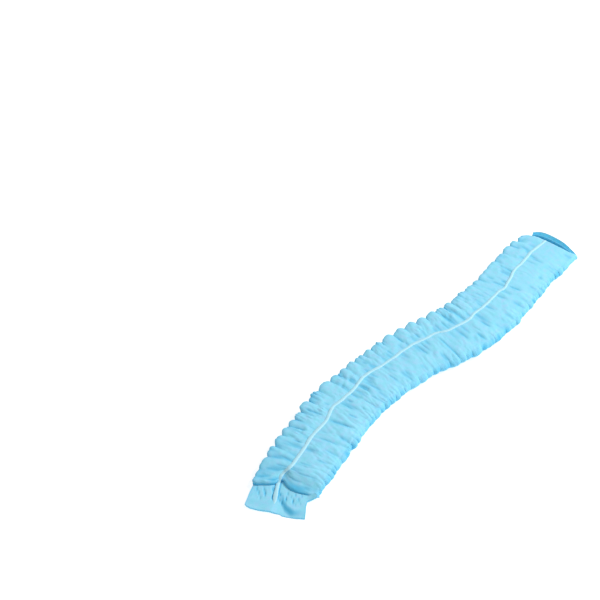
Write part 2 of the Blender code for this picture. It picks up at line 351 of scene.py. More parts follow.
rough = stations_every(2 * MM)
print("cloth goes from", (rough.arc[0] / MM).round(1), "to", (rough.arc[-1] / MM).round(1), "mm")

# %% [markdown]
# ## Where the gathers lie
#
# An elastic doesn't gather cloth evenly. The widths of the gathers, from the near end to the far one, and
# how far each stands out at the frill are read from the photograph. Between two gathers lies a main
# crease, a line across the strip with a little slant and curl of its own. Those come from a seeded
# generator, so that the cap looks the same each time. A place on such a line is called by its reach: -1 at
# the frill's edge, 0 at the elastic and 1 at the fold edge.

# %% Gathers and the main creases
Gather = namedtuple("Gather", "width_mm lobe")
GATHERS = [
    Gather(14.8, 0.6), Gather(7.5, 1.1), Gather(8.1, 1.1), Gather(6.9, 1.0), Gather(6.0, 0.9),
    Gather(6.0, 0.7), Gather(8.1, 1.2), Gather(8.1, 1.3), Gather(8.7, 1.2), Gather(5.7, 0.9),
    Gather(5.7, 0.8), Gather(6.3, 0.9), Gather(5.7, 0.9), Gather(5.7, 0.9), Gather(7.2, 1.1),
    Gather(7.8, 1.2), Gather(6.9, 1.0), Gather(6.9, 1.1), Gather(6.9, 1.0), Gather(7.8, 1.1),
    Gather(7.2, 1.0), Gather(6.6, 1.0), Gather(5.7, 0.9), Gather(9.0, 0.7), Gather(7.5, 0.4),
    Gather(5.7, 0.4), Gather(5.2, 0.35), Gather(5.0, 0.4), Gather(7.8, 0.6), Gather(7.2, 0.9),
    Gather(7.2, 0.9), Gather(5.5, 0.9), Gather(8.6, 0.9),
]
SLANT_MM = 0.9
FRILL_SHIFT = -0.8 * MM
CLOTH_PAST_END = 1.5 * MM
Line = namedtuple("Line", "place slant curl")


def crease_line(line, reach):
    """Where a crease crosses the strip at each reach."""
    return line.place + line.slant * reach + line.curl * reach * abs(reach)


def main_lines(seed):
    """The lines between the gathers, whose widths hold at the frill, with one more at each end."""
    chance = np.random.default_rng(seed)
    edges = np.concatenate([[0], np.cumsum([gather.width_mm for gather in GATHERS])])
    places = edges / edges[-1] * (BODY_LENGTH + 2 * CLOTH_PAST_END) - CLOTH_PAST_END
    slants = chance.uniform(-SLANT_MM, SLANT_MM, (len(places), 2)) * MM
    places += slants.sum(axis=1) + FRILL_SHIFT
    slants[[0, -1]] = 0
    places[0], places[-1] = rough.arc[0], rough.arc[-1]
    return [Line(place, *slant) for place, slant in zip(places, slants)]


top_lines, under_lines = main_lines(35), main_lines(36)
print("gathers:", len(GATHERS), "from", min(GATHERS).width_mm, "to", max(GATHERS).width_mm, "mm wide")

# %% [markdown]
# ## Finer creases
#
# Each gather is creased again, in two ways. Most of these creases are strewn by a seeded generator, in
# families: some start at the elastic, where the cloth is pinched, and die out on the way to an edge, and
# others start at the frill or at the fold edge. A few strong ones are where the photograph shows them: for
# these a table of marks, read off, has the place, both ends as reaches, and the strength.

# %% Families of creases
Crease = namedtuple("Crease", "line width reaches depths")
Family = namedtuple("Family", "count depth width first last shape slant")
FAMILIES = [
    Family(34, 0.44, 0.62, (0.00, 0.05), (0.25, 0.60), (0.6, 1, 0.9, 0.5, 0), 0.9),
    Family(64, 0.44, 0.58, (-0.95, -0.25), (-0.06, 0.00), (0, 0.7, 1, 0.5), 1.1),
    Family(34, 0.40, 0.75, (-1.30, -1.20), (-0.70, -0.30), (1, 0.9, 0.5, 0), 0.7),
    Family(30, 0.38, 0.64, (0.45, 0.65), (0.80, 1.05), (0, 1, 0.8, 0), 1.1),
    Family(60, 0.34, 0.70, (0.70, 0.90), (1.70, 1.90), (0, 0.7, 1, 1), 0.7),
]
WIDTH_SPREAD = (0.7, 1.5)
DEPTH_SPREAD = (0.3, 1.4)


def fine_creases(seed):
    """Short creases in families, in mm. A crease's shape runs from its first reach to its last one."""
    chance = np.random.default_rng(seed)
    found = []
    for family in FAMILIES:
        for place in np.sort(chance.uniform(0, BODY_LENGTH, family.count)):
            first, last = chance.uniform(*family.first), chance.uniform(*family.last)
            line = Line(place, *(chance.uniform(-family.slant, family.slant, 2) * MM))
            reaches = first + (last - first) * np.linspace(0, 1, len(family.shape))
            depths = np.multiply(family.shape, family.depth * chance.uniform(*DEPTH_SPREAD) * MM)
            found.append(Crease(line, chance.uniform(*WIDTH_SPREAD) * family.width * MM, reaches, depths))
    return found


top_creases, under_creases = fine_creases(40), fine_creases(50)
print("strewn creases:", len(top_creases), "on each side")

# %% Creases read from the photograph
Mark = namedtuple("Mark", "along_mm first last depth")
MARKS = [
    Mark(14.2, -0.85, -0.45, 0.6), Mark(28.0, -0.60, -0.15, 0.6), Mark(50.2, -0.95, -0.20, 1.0),
    Mark(58.0, -0.45, -0.15, 0.5), Mark(79.3, -0.45, -0.12, 0.8), Mark(92.5, -0.75, -0.45, 0.5),
    Mark(106.3, -0.55, -0.20, 0.6), Mark(116.8, -0.85, -0.30, 0.7), Mark(124.9, -0.50, -0.15, 0.8),
    Mark(146.5, -0.90, -0.10, 0.8), Mark(175.0, -0.75, -0.20, 0.4), Mark(191.2, -0.85, -0.50, 0.5),
    Mark(192.1, -0.28, -0.05, 0.9), Mark(220.0, -0.90, -0.50, 0.6), Mark(15.4, 0.08, 0.50, 0.5),
    Mark(20.8, 0.45, 0.80, 0.6), Mark(28.6, 0.45, 0.90, 0.5), Mark(35.2, 0.12, 0.75, 0.6),
    Mark(49.0, 0.05, 0.75, 1.0), Mark(56.8, 0.42, 0.70, 0.8), Mark(65.8, 0.05, 0.30, 0.7),
    Mark(78.7, 0.05, 0.38, 0.9), Mark(81.5, 0.05, 0.68, 0.8), Mark(93.7, 0.35, 0.70, 0.5),
    Mark(120.0, 0.05, 0.52, 0.9), Mark(127.0, 0.65, 0.95, 0.6), Mark(132.7, 0.10, 1.05, 0.9),
    Mark(144.0, 0.20, 0.60, 0.7), Mark(150.0, 0.50, 0.85, 0.9), Mark(157.9, 0.25, 0.65, 0.7),
    Mark(190.0, 0.08, 0.50, 1.0), Mark(217.0, 0.10, 0.50, 0.5), Mark(0.6, -0.90, -0.25, 1.2),
    Mark(3.4, -0.98, -0.40, 1.3), Mark(7.2, -0.80, -0.10, 1.1), Mark(10.0, -0.55, -0.05, 0.8),
    Mark(4.6, 0.12, 0.50, 0.6), Mark(8.8, 0.20, 0.80, 0.5), Mark(36.4, -0.90, -0.30, 0.7),
]
MARK_DEPTH = 0.90 * MM
MARK_WIDTH = 0.52 * MM
MARK_SLANT = 0.8 * MM
MARK_SHAPE = np.array([0, 0.8, 1, 0.8, 0])


def marked_crease(mark):
    """A strong crease of the top, which starts and ends softly."""
    line = Line(mark.along_mm * MM, MARK_SLANT, 0)
    reaches = np.linspace(mark.first, mark.last, len(MARK_SHAPE))
    return Crease(line, MARK_WIDTH, reaches, MARK_SHAPE * MARK_DEPTH * mark.depth)


top_creases += [marked_crease(mark) for mark in MARKS]
print("creases on the top:", len(top_creases))

# %% [markdown]
# ## How high the gathers stand
#
# A gather is an arch of cloth between two creases. At the frill it stands up as a lobe that leans away from
# the near end, and on the wide panel some gathers nearly vanish. The profile says how high the arches are
# and how steeply they rise at each reach. Some creases are broken: in patches of the panel, and along a
# stretch of the frill in the far third, the cloth runs on nearly level from one arch to the next.

# %% Arches between the main creases
Profile = namedtuple("Profile", "reach height steepness")
PROFILE = [
    Profile(-1.20, 1.20, 0.55),
    Profile(-0.95, 1.05, 0.60),
    Profile(-0.75, 0.65, 0.80),
    Profile(-0.50, 0.36, 1.00),
    Profile(-0.20, 0.24, 1.20),
    Profile(0.50, 0.30, 1.40),
    Profile(0.80, 0.36, 1.20),
    Profile(1.70, 0.30, 1.00),
]
ARCH_MARGIN = 3 * MM
ARCH_REACHES = (-1, 0, 0.6)
ELASTIC_ARCH = (0.8, 1.2)
PANEL_ARCH = (0.2, 1.5)
FRILL_LEAN = (1.25, 1.75)
ELASTIC_LEAN = (0.8, 1.25)


def profile(column, reach):
    """One column of the profile at these reaches."""
    return np.interp(reach, [row.reach for row in PROFILE], [getattr(row, column) for row in PROFILE])


def arches(arc, reach, lines, seed):
    """The rounded ridges between main creases: 0 at the creases, about 1 at the crests."""
    chance = np.random.default_rng(seed)
    steepness = profile("steepness", reach)
    arch = np.zeros_like(reach)
    for gather, first, second in zip(GATHERS, lines, lines[1:]):
        near = np.flatnonzero((arc > first.place - ARCH_MARGIN) & (arc < second.place + ARCH_MARGIN))
        across = reach[:, near]
        heights = [gather.lobe, chance.uniform(*ELASTIC_ARCH), chance.uniform(*PANEL_ARCH)]
        leans = [chance.uniform(*FRILL_LEAN), chance.uniform(*ELASTIC_LEAN)]
        start, end = crease_line(first, across), crease_line(second, across)
        share = ramp(arc[near], start, end) ** np.interp(across, ARCH_REACHES[:2], leans)
        ridge = (4 * share * (1 - share)) ** steepness[:, near] * np.interp(across, ARCH_REACHES, heights)
        arch[:, near] = np.maximum(arch[:, near], ridge)
    return arch


print("arches at the frill, elastic and fold in mm:", profile("height", [-1, 0, 1]).round(2))

# %% Broken creases
PATCH_LENGTH = 6 * MM
PATCHES_ACROSS = 2.5
PATCH_SHARE = 0.4
PATCH_SPREAD = 0.6
MOST_LEVEL = 0.85
LEVEL_FRILL = [(158, 0), (168, 0.6), (200, 0.6), (207, 0)]


def with_breaks(arc, reach, arch, seed):
    """The arches, with their creases filled up in patches of the panel and along the level frill."""
    patches = soft_noise(arc / PATCH_LENGTH, PATCHES_ACROSS * reach + 30, seed)
    patchy = ramp(reach, -0.85, -0.55) * np.clip(PATCH_SHARE + PATCH_SPREAD * patches, 0, MOST_LEVEL)
    level = ramp(reach, 0, -0.4) * table(arc / MM, LEVEL_FRILL)
    return 1 - (1 - arch) * (1 - patchy) * (1 - level)


print("the frill is nearly level from", LEVEL_FRILL[1][0], "to", LEVEL_FRILL[2][0], "mm")

# %% [markdown]
# ## Creases, teeth and wrinkles
#
# A finer crease takes something away from its arch and falls off softly on both sides. Where several meet,
# a soft limit keeps them from cutting through. The rolled fold edge has small even gathers of its own, the
# teeth. And crumpled nonwoven has wrinkles everywhere. They come from a stretched noise: its value without
# the sign has a sharp valley wherever the noise crosses zero.

# %% Depth of the finer creases
CREASE_WINDOW = 5
CREASE_MARGIN = 3 * MM
CREASE_BLUNTNESS = 0.5
DEEPEST = 0.60 * MM


def crease_depth(arc, reach, creases):
    """What the finer creases take away at each point of a sheet."""
    taken = np.zeros_like(reach)
    for crease in creases:
        margin = CREASE_WINDOW * crease.width + CREASE_MARGIN
        near = np.flatnonzero(abs(arc - crease.line.place) < margin)
        across = reach[:, near]
        away = (arc[near] - crease_line(crease.line, across)) / crease.width
        shape = np.exp(CREASE_BLUNTNESS - np.sqrt(away * away + CREASE_BLUNTNESS ** 2))
        taken[:, near] += shape * np.interp(across, crease.reaches, crease.depths, left=0, right=0)
    return DEEPEST * np.tanh(taken / DEEPEST)


print("no crease is deeper than", DEEPEST / MM, "mm")

# %% Teeth of the fold edge
TOOTH_PITCH = [(0, 6.0), (60, 5.2), (140, 5.6), (160, 4.0), (180, 3.5), (232, 3.5)]
TOOTH_HEIGHT = [(0.65, 0.0), (0.9, 0.3), (1.2, 1.25), (1.7, 1.6)]
TOOTH_LEAN_MM = 0.5
TOOTH_STEP = 0.5
TOOTH_DRIFT = 0.7
TOOTH_SKEW = 1.2
TOOTH_ROUNDNESS = 0.55
TOOTH_SIZES = (0.35, 1.3)
MOST_TEETH = 200


def teeth(arc, reach, seed):
    """Small even gathers at the rolled fold edge, which the wide panel doesn't have."""
    along = arc / MM
    fine = np.arange(-40.0, 300.0, TOOTH_STEP)
    turns = np.cumsum(TOOTH_STEP / table(fine, TOOTH_PITCH))
    phase = np.interp(along - (reach - 1) * TOOTH_LEAN_MM, fine, turns)
    phase = phase + TOOTH_DRIFT * soft_noise(along / 12, 0 * reach + 4, seed)
    share = (phase % 1) ** TOOTH_SKEW
    size = np.random.default_rng(seed + 1).uniform(*TOOTH_SIZES, MOST_TEETH)[np.floor(phase).astype(int)]
    return MM * size * table(reach, TOOTH_HEIGHT) * (4 * share * (1 - share)) ** TOOTH_ROUNDNESS


print("teeth are", TOOTH_PITCH[0][1], "mm apart at the near end and", TOOTH_PITCH[-1][1], "mm at the far one")

# %% Wrinkles
Wrinkle = namedtuple("Wrinkle", "pitch_mm across lean height_mm reaches")
WRINKLES = [
    Wrinkle(2.5, 3.2, 0.1, 0.42, [(-1, 0.8), (-0.5, 1), (2, 1)]),
    Wrinkle(1.1, 8.0, 0.2, 0.20, [(-1, 1), (2, 1)]),
    Wrinkle(1.9, 5.5, 0.4, 0.44, [(-1, 1), (-0.3, 0.7), (0, 0), (0.4, 0.5), (1, 1), (1.6, 0.4)]),
]
CRUMPLED = [(0, 1.15), (150, 1.0), (178, 0.7), (232, 0.6)]
CRUMPLE_MEAN = 0.8
CRUMPLE_SPREAD = 0.5
WRINKLE_BEND_MM = 2.0
WRINKLE_BLUNTNESS = 0.01


def wrinkled(arc, reach, from_elastic, seed):
    """Small irregular creases all over the cloth, as heights above their valleys."""
    along = arc / MM
    bent = along + WRINKLE_BEND_MM * soft_noise(along / 7, 3 * reach + 30, seed)
    patches = CRUMPLE_MEAN + CRUMPLE_SPREAD * soft_noise(along / 9, 2 * reach + 30, seed + 1)
    strength = table(along, CRUMPLED) * patches
    height = 0 * reach
    for number, wrinkle in enumerate(WRINKLES, 2):
        leaning = bent - wrinkle.lean * from_elastic / MM
        noise = soft_noise(leaning / wrinkle.pitch_mm + 50, wrinkle.across * reach + 30, seed + number)
        share = table(reach, wrinkle.reaches)
        height += wrinkle.height_mm * MM * share * strength * np.sqrt(noise ** 2 + WRINKLE_BLUNTNESS)
    return height


print("kinds of wrinkles:", len(WRINKLES))

# %% [markdown]
# ## Relief and shade
#
# Arches, creases, wrinkles and teeth are added up. The far third is calmer than the rest, and the groove
# that the elastic presses makes everything lower. The same sums say how deep in a crease each point lies,
# from 0 in the open to 1 between two folds, and the material paints the cloth darker there as painted
# shade. The hollows under the bulges, the cloth beside the near notch and the foot of the rolled wall get
# painted shade as well.

# %% Shade of the creases
VALLEY_SHADE = 0.68
VALLEY_POWER = 1.5
VALLEY_HEIGHT = 1.4 * MM
CREASE_SHADE = 0.85
TUCK_SHADE = 1.1
FOOT_SHADE = 0.60
DARKEST = 1.2
NotchShade = namedtuple("NotchShade", "reach width shade")
NOTCH_SHADES = [NotchShade(0.42, 0.32, 1.0), NotchShade(-0.2, 0.15, 0.7)]


def crease_shade(stations, reach, from_elastic, arch, height, taken):
    """How much painted shade each point gets, from how deep in a crease or a hollow it lies."""
    # Painted shade in the valleys between the arches and in the finer creases.
    shade = VALLEY_SHADE * (1 - arch).clip(0, 1) ** VALLEY_POWER * height / VALLEY_HEIGHT
    shade += CREASE_SHADE * taken / DEEPEST
    # Painted shade in the hollows under the bulges and on the cloth beside the near notch.
    inside = ramp(from_elastic + stations.elastic, -14 * MM, -10 * MM)
    shade += TUCK_SHADE * inside * ramp(stations.swell, 0.85, 0.3)
    notch_shade = sum(pinch.shade * bell(reach, pinch.reach, pinch.width) for pinch in NOTCH_SHADES)
    shade += inside * ramp(stations.near, 0.78, 0.96) * notch_shade
    # Painted shade at the foot of the rolled wall.
    shade += FOOT_SHADE * ramp(reach, 0.8, 1.3)
    return np.clip(shade, 0, DARKEST)


print("the deepest shade is", DARKEST)

# %% Relief
GROOVE_WIDTH = 1.8 * MM
GROOVE_DEPTH = 0.6
CALM = [(0, 1.0), (150, 1.0), (172, 0.55), (205, 0.5), (232, 0.7)]
NEAR_CRUMPLE = 0.7


def relief(stations, reach, from_elastic, lines, creases, seed):
    """How far a gathered sheet stands out from the bottom of its creases, and its painted crease shade."""
    arc = stations.arc
    arch = with_breaks(arc, reach, arches(arc, reach, lines, seed), seed + 30)
    calm = 1 - (1 - table(arc / MM, CALM)) * ramp(reach, -1, -0.7)
    height = MM * profile("height", reach) * calm
    taken = crease_depth(arc, reach, creases)
    fine = wrinkled(arc, reach, from_elastic, seed + 10)
    fine = fine * (1 + NEAR_CRUMPLE * stations.near * ramp(reach, -1, -0.65))
    open_edge = (1 - stations.near) * (1 - stations.far)
    groove = 1 - GROOVE_DEPTH * bell(from_elastic, 0, GROOVE_WIDTH)
    standing = groove * (height * arch - taken + fine + open_edge * teeth(arc, reach, seed + 20))
    return standing, crease_shade(stations, reach, from_elastic, arch, height, taken)


print("under the elastic", round(100 * (1 - GROOVE_DEPTH)), "percent of the relief is left")

# %% [markdown]
# ## The fold, seen from the end
#
# The sheet is one long path when it is cut across: a narrow hem under the frill, the top, a rolled wall
# down the fold edge, several pleats inside, a second wall up the frill side, and the underside with a hem
# of its own. The path is put together from straight runs and half-round turns. Each point of it also says
# how much of the relief it takes upwards and how much sideways, so a puff runs on round an edge.

# %% Runs and turns of the fold
WALL_REACH = 0.7
Path = namedtuple("Path", "left height up out")


def steps(first, last, count):
    """A column of values from first to last."""
    return np.linspace(first, last, count)[:, None]


def run(from_left, to_left, height, count, up=0.0):
    """A level stretch of the fold between two places left of the centre line."""
    left = from_left + (to_left - from_left) * steps(0, 1, count)
    return Path(left, height + 0 * left, up + 0 * left, 0 * left)


def turn(edge, side, bulge, from_height, to_height, count, from_up=0.0, to_up=0.0, out=0.0):
    """A half-round turn at an edge, to the left for side 1 and to the right for side -1."""
    angle = np.pi * steps(0, 1, count + 2)[1:-1]
    left = edge + side * bulge * np.sin(angle)
    middle, radius = (from_height + to_height) / 2, (from_height - to_height) / 2
    height = middle + radius * np.cos(angle) + 0 * left
    up = from_up + (to_up - from_up) * (1 - np.cos(angle)) / 2 + 0 * left
    return Path(left, height, up, side * out * np.sin(angle) + 0 * left)


def joined(*parts):
    """One path from several that follow each other."""
    return Path(*(np.concatenate(columns) for columns in zip(*parts)))


def reach_of(left, elastic, half):
    """-1 at the frill's edge, 0 at the elastic and 1 at the fold edge."""
    side = np.where(left > elastic, half - elastic, half + elastic)
    return (elastic - left) / side


def round_the_edge(reach, first_row, count):
    """Let the reach grow on down a wall, whose points lie below each other."""
    rows = np.arange(len(reach))[:, None] - first_row
    return reach + WALL_REACH * ramp(rows, 0, count)


sample = turn(edge=0, side=1, bulge=2, from_height=4, to_height=0, count=3)
print("a turn with three points:", np.hstack([sample.left, sample.height]).round(1).tolist())

# %% [markdown]
# ## From a path to a sheet
#
# At each station along the strip the path is bent into place. The heights shrink over the bulges, the end
# lines pull the rows next to them along, and the creases slant a little over the whole width. The flanks
# of each ridge are also pushed towards their crease, which makes the ridges fuller and the creases tighter.

# %% Bend a path into place
SLANT = 1.6 * MM
CHOP = 0.28 * MM
STEEPEST = 1.3
THINNED = [(-1, 0.6), (0.3, 1.0)]


def placed(stations, path, reach, standing):
    """The sheet's points in the row frame, from its path and how far each point stands out."""
    slope = np.gradient(standing, axis=1) / np.gradient(stations.arc)
    left = path.left + path.out * standing
    shift = stations.near * curve(left, NEAR.line) + stations.far * curve(left, FAR.line)
    middle = 1 - np.maximum(stations.near, stations.far)
    shift -= SLANT * (reach / 2) * middle
    shift -= CHOP * slope.clip(-STEEPEST, STEEPEST) * stations.swell ** 2
    thin = 1 - NEAR.thinning * stations.near * table(reach, THINNED)
    height = path.height + path.up * standing
    height = WELD_HEIGHT + (height - WELD_HEIGHT) * stations.swell * thin
    return plan(stations.along + shift, left, height)


print("a crease moves by up to", SLANT / MM, "mm on its way from one edge to the other")

# %% [markdown]
# ## Thin walls
#
# A sheet of cloth has two faces. The middle surface is a grid, so its normals come from the grid's two
# directions. Moving the grid half a thickness along the normals each way, and closing the border, gives a
# thin closed mesh. The Solidify modifier would do the same, but here the grid also carries its place on
# the flat cloth, and how deep in a crease each point lies, for the painted shade of the colour.

# %% Mesh of a closed sheet
SHARP_DEGREES = 60


def in_scene(name, mesh):
    """A smooth-shaded object for a mesh."""
    mesh.shade_smooth()
    mesh.set_sharp_from_angle(angle=math.radians(SHARP_DEGREES))
    piece = bpy.data.objects.new(name, mesh)
    bpy.context.scene.collection.objects.link(piece)
    mesh.calc_loop_triangles()
    print(name, "has", len(mesh.loop_triangles), "triangles")
    return piece


def border(rows, columns):
    """The indices round the outside of a grid, in order."""
    index = np.arange(rows * columns).reshape(rows, columns)
    return np.concatenate([index[0, :-1], index[:-1, -1], index[-1, :0:-1], index[:0:-1, 0]])


def closed_sheet(name, upper, lower, cloth, depth):
    """A closed mesh between two grids, with each point's place on the flat cloth and its painted shade."""
    rows, columns = upper.shape[:2]
    count = rows * columns
    index = np.arange(count).reshape(rows, columns)
    quads = np.stack([index[:-1, :-1], index[1:, :-1], index[1:, 1:], index[:-1, 1:]], axis=-1).reshape(-1, 4)
    loop = border(rows, columns)
    following = np.roll(loop, -1)
    rim = np.stack([loop, following, following + count, loop + count], axis=-1)
    faces = np.concatenate([quads, quads[:, ::-1] + count, rim])
    points = np.concatenate([upper.reshape(-1, 3), lower.reshape(-1, 3)])
    mesh = bpy.data.meshes.new(name)
    mesh.from_pydata(points.tolist(), [], faces.tolist())
    layer = mesh.uv_layers.new(name="cloth")
    corners = np.tile(cloth.reshape(-1, 2), (2, 1))[faces.reshape(-1)]
    layer.uv.foreach_set("vector", corners.astype(np.float32).ravel())
    # The crease attribute holds the painted shade measure, and below 0 the painted light, for the material.
    shade = mesh.attributes.new("crease", "FLOAT", "POINT")
    shade.data.foreach_set("value", np.tile(depth.reshape(-1), 2).astype(np.float32))
    return in_scene(name, mesh)


print("a grid of 3 by 4 points has", len(border(3, 4)), "of them on its border")

# %% Sheet of cloth
CLOTH_THICKNESS = 0.16 * MM


def grid_normals(points):
    """Unit normals of a grid of points."""
    normal = np.cross(np.gradient(points, axis=0), np.gradient(points, axis=1))
    return normal / np.linalg.norm(normal, axis=-1, keepdims=True).clip(1e-12)


def cloth_lengths(points):
    """How far each point of a grid lies across and along its own cloth, in metres."""
    across = np.linalg.norm(np.diff(points, axis=0, prepend=points[:1]), axis=-1).cumsum(axis=0)
    along = np.linalg.norm(np.diff(points, axis=1, prepend=points[:, :1]), axis=-1).cumsum(axis=1)
    mean_across = across.mean(axis=1, keepdims=True) + 0 * across
    return np.stack([mean_across, along.mean(axis=0) + 0 * along], axis=-1)


def cloth_sheet(name, points, depth):
    """A sheet of the cap's cloth round this middle surface, with its flat size in metres."""
    shift = grid_normals(points) * CLOTH_THICKNESS / 2
    lengths = cloth_lengths(points)
    piece = closed_sheet(name, points + shift, points - shift, lengths, depth)
    return piece, lengths[-1, -1]


print("the cloth is", round(CLOTH_THICKNESS / MM, 2), "mm thick")

# %% [markdown]
# ## The top of the cap
#
# This is what the photograph shows: the frill to the left of the elastic, the wide panel to its right, and
# the rolled fold edge. The top is highest in the middle and drops a little towards both edges. Beside the
# edges the puffs also push sideways, so that the lobes of the frill show in its outline.

# %% The top's path across the strip
TOP_HEIGHT = 6.0 * MM
HEM_GAP = 0.42 * MM
HEM_BULGE = 0.3 * MM
HEM_OVERLAP = 0.5 * MM
HEM_PUFF = 0.88
FRILL_NOTCH = 0.8 * MM
FRILL_DROP = 1.0 * MM
FRILL_PUSH = 0.75
FRILL_PUSH_WIDTH = 2.0 * MM
FOLD_NOTCH = 1.0 * MM
FOLD_DROP = 2.0 * MM
FOLD_PUSH = 0.3
FOLD_PUSH_WIDTH = 2.5 * MM
WALL_BULGE = 1.4 * MM
WALL_FOOT = 1.15 * MM
TAIL_LENGTH = 4 * MM
TAIL_RISE = 0.2 * MM
HEM_ROWS, FRILL_ROWS, PANEL_ROWS, WALL_ROWS, TAIL_ROWS = 7, 3, 40, 13, 3
TOP_SPACING = 0.34 * MM


def crown(reach):
    """How far the top drops towards the frill and towards the fold edge."""
    towards_frill = np.clip((-0.35 - reach) / 0.65, 0, None)
    towards_fold = np.clip((reach - 0.4) / 0.6, 0, None)
    return -FRILL_DROP * towards_frill ** 2 - FOLD_DROP * towards_fold ** 2


top = stations_every(TOP_SPACING)
frill_edge = top.half - FRILL_NOTCH
fold_edge = -top.half + FOLD_NOTCH + WALL_BULGE
wall_top = TOP_HEIGHT + crown(reach_of(fold_edge, top.elastic, top.half))
hem_height = TOP_HEIGHT - HEM_GAP
path = joined(
    run(top.elastic - HEM_OVERLAP, frill_edge, hem_height, HEM_ROWS, up=HEM_PUFF),
    turn(frill_edge, 1, HEM_BULGE, hem_height, TOP_HEIGHT, FRILL_ROWS, HEM_PUFF, 1.0, out=1.0),
    run(frill_edge, fold_edge, TOP_HEIGHT, PANEL_ROWS, up=1.0),
    turn(fold_edge, -1, WALL_BULGE, wall_top, WALL_FOOT, WALL_ROWS, 0.8, -0.3, out=1.0),
    run(fold_edge, fold_edge + TAIL_LENGTH, WALL_FOOT + TAIL_RISE, TAIL_ROWS),
)
panel = slice(HEM_ROWS + FRILL_ROWS, HEM_ROWS + FRILL_ROWS + PANEL_ROWS)
before_wall = slice(0, panel.stop)
reach = reach_of(path.left, top.elastic, top.half)
path.height[before_wall] += crown(reach[before_wall])
path.out[before_wall] += FRILL_PUSH * bell(path.left[before_wall], frill_edge, FRILL_PUSH_WIDTH)
path.out[panel] -= FOLD_PUSH * bell(path.left[panel], fold_edge, FOLD_PUSH_WIDTH)
reach = round_the_edge(reach, panel.stop, WALL_ROWS)
print("the path has", len(path.left), "points at each of", len(top.along), "stations")

# %% Top sheet
HEM_SHADE = 0.30
FRILL_EDGE_SHADE = 0.1

standing, depth = relief(top, reach, path.left - top.elastic, top_lines, top_creases, seed=3)
# Painted shade: a thin darker line along the frill's edge, over the hem's last row and its turn.
depth[HEM_ROWS - 1:panel.start] += HEM_SHADE
depth[panel.start] += FRILL_EDGE_SHADE
points = placed(top, path, reach, standing)
top_sheet, top_flat = cloth_sheet("cap_top", points, depth)
print("flat size of the top sheet in mm:", (top_flat / MM).round())

# %% [markdown]
# ## Where the thread lies on the top
#
# The thread follows the finished cloth. At each station the elastic's place falls between two rows of the
# grid, so the line under the thread is mixed from the points of both.

# %% The line under the thread
columns = np.arange(len(top.along))
row = panel.start + (path.left[panel] > top.elastic).sum(axis=0) - 1
before, after = path.left[row, columns] - top.elastic, top.elastic - path.left[row + 1, columns]
share = (before / (before + after))[:, None]
under_thread = points[row, columns] * (1 - share) + points[row + 1, columns] * share
print("cloth under the thread is up to", (under_thread[:, 2].max() / MM).round(2), "mm high")

# %% [markdown]
# ## The underside
#
# The same cloth again, with the second wall up the frill side and the lower hem. It rests on the table, so
# its puffs are pressed flat there. The photograph doesn't show this side, so it is kept plain.

# %% Under sheet
INNER_TOP = 4.7 * MM
INNER_LENGTH = 8 * MM
FRILL_WALL_INSET = 3.6 * MM
FRILL_WALL_BULGE = 1.8 * MM
UNDER_HEM_INSET = 3.2 * MM
UNDER_HEIGHT = 1.02 * MM
UNDER_PUFF = -0.8
UNDER_HEM_PUFF = -0.65
UNDER_SPACING = 0.60 * MM
FLOOR_GAP = 0.02 * MM


def lower_elastic_place(along):
    """How far left of the centre line the lower elastic runs."""
    return half_width(along) * (2 * bend("elastic", along) - 1)


low = stations_every(UNDER_SPACING)
low_elastic = lower_elastic_place(low.along)
frill_wall = low.half - FRILL_WALL_INSET
hem_edge = -low.half + UNDER_HEM_INSET
hem_height = UNDER_HEIGHT + HEM_GAP
path = joined(
    run(frill_wall - INNER_LENGTH, frill_wall, INNER_TOP, 6),
    turn(frill_wall, 1, FRILL_WALL_BULGE, INNER_TOP, UNDER_HEIGHT, 11, 0.0, UNDER_PUFF, out=0.8),
    run(frill_wall, hem_edge, UNDER_HEIGHT, 32, up=UNDER_PUFF),
    turn(hem_edge, -1, HEM_BULGE, UNDER_HEIGHT, hem_height, 3, UNDER_PUFF, UNDER_HEM_PUFF, out=0.8),
    run(hem_edge, low_elastic, hem_height, 8, up=UNDER_HEM_PUFF),
)
reach = reach_of(-path.left, -low_elastic, low.half)
standing, depth = relief(low, reach, path.left - low_elastic, under_lines, under_creases, seed=13)
points = placed(low, path, reach, standing)
points[..., 2] = np.maximum(points[..., 2], CLOTH_THICKNESS / 2 + FLOOR_GAP)
under_sheet, under_flat = cloth_sheet("cap_under", points, depth)
print("flat size of the under sheet in mm:", (under_flat / MM).round())

# %% [markdown]
# ## The grid of a flap
#
# Heat and pressure fuse all the layers into a stiff flap at each end. A few rows say where its side edges
# run, further and further out of the body, and a line says where it is cut off. All were read off.

# %% Rows of a flap
Weld = namedtuple("Weld", "out_mm frill_side fold_side")
NEAR_ROWS = [
    Weld(-7.0, 0.80, 0.50), Weld(-2.0, 0.92, 0.76), Weld(0.0, 1.00, 0.94), Weld(1.2, 1.01, 0.94),
    Weld(3.1, 1.02, 0.80), Weld(4.4, 1.02, 0.715), Weld(8.0, 1.02, 0.74), Weld(11.0, 1.01, 0.79),
    Weld(16.3, 1.00, 0.86),
]
NEAR_CUT = [
    (-15, 14.6), (-13.6, 14.9), (-8, 15.7), (-5, 16.0), (-2.4, 16.0), (-1.8, 15.3), (0, 15.4), (5, 15.8),
    (10, 16.2), (13.0, 16.2), (15.0, 15.6), (16.4, 14.4),
]
FLAP_THICKNESS = 0.8 * MM
FLAP_GRID = (110, 130)


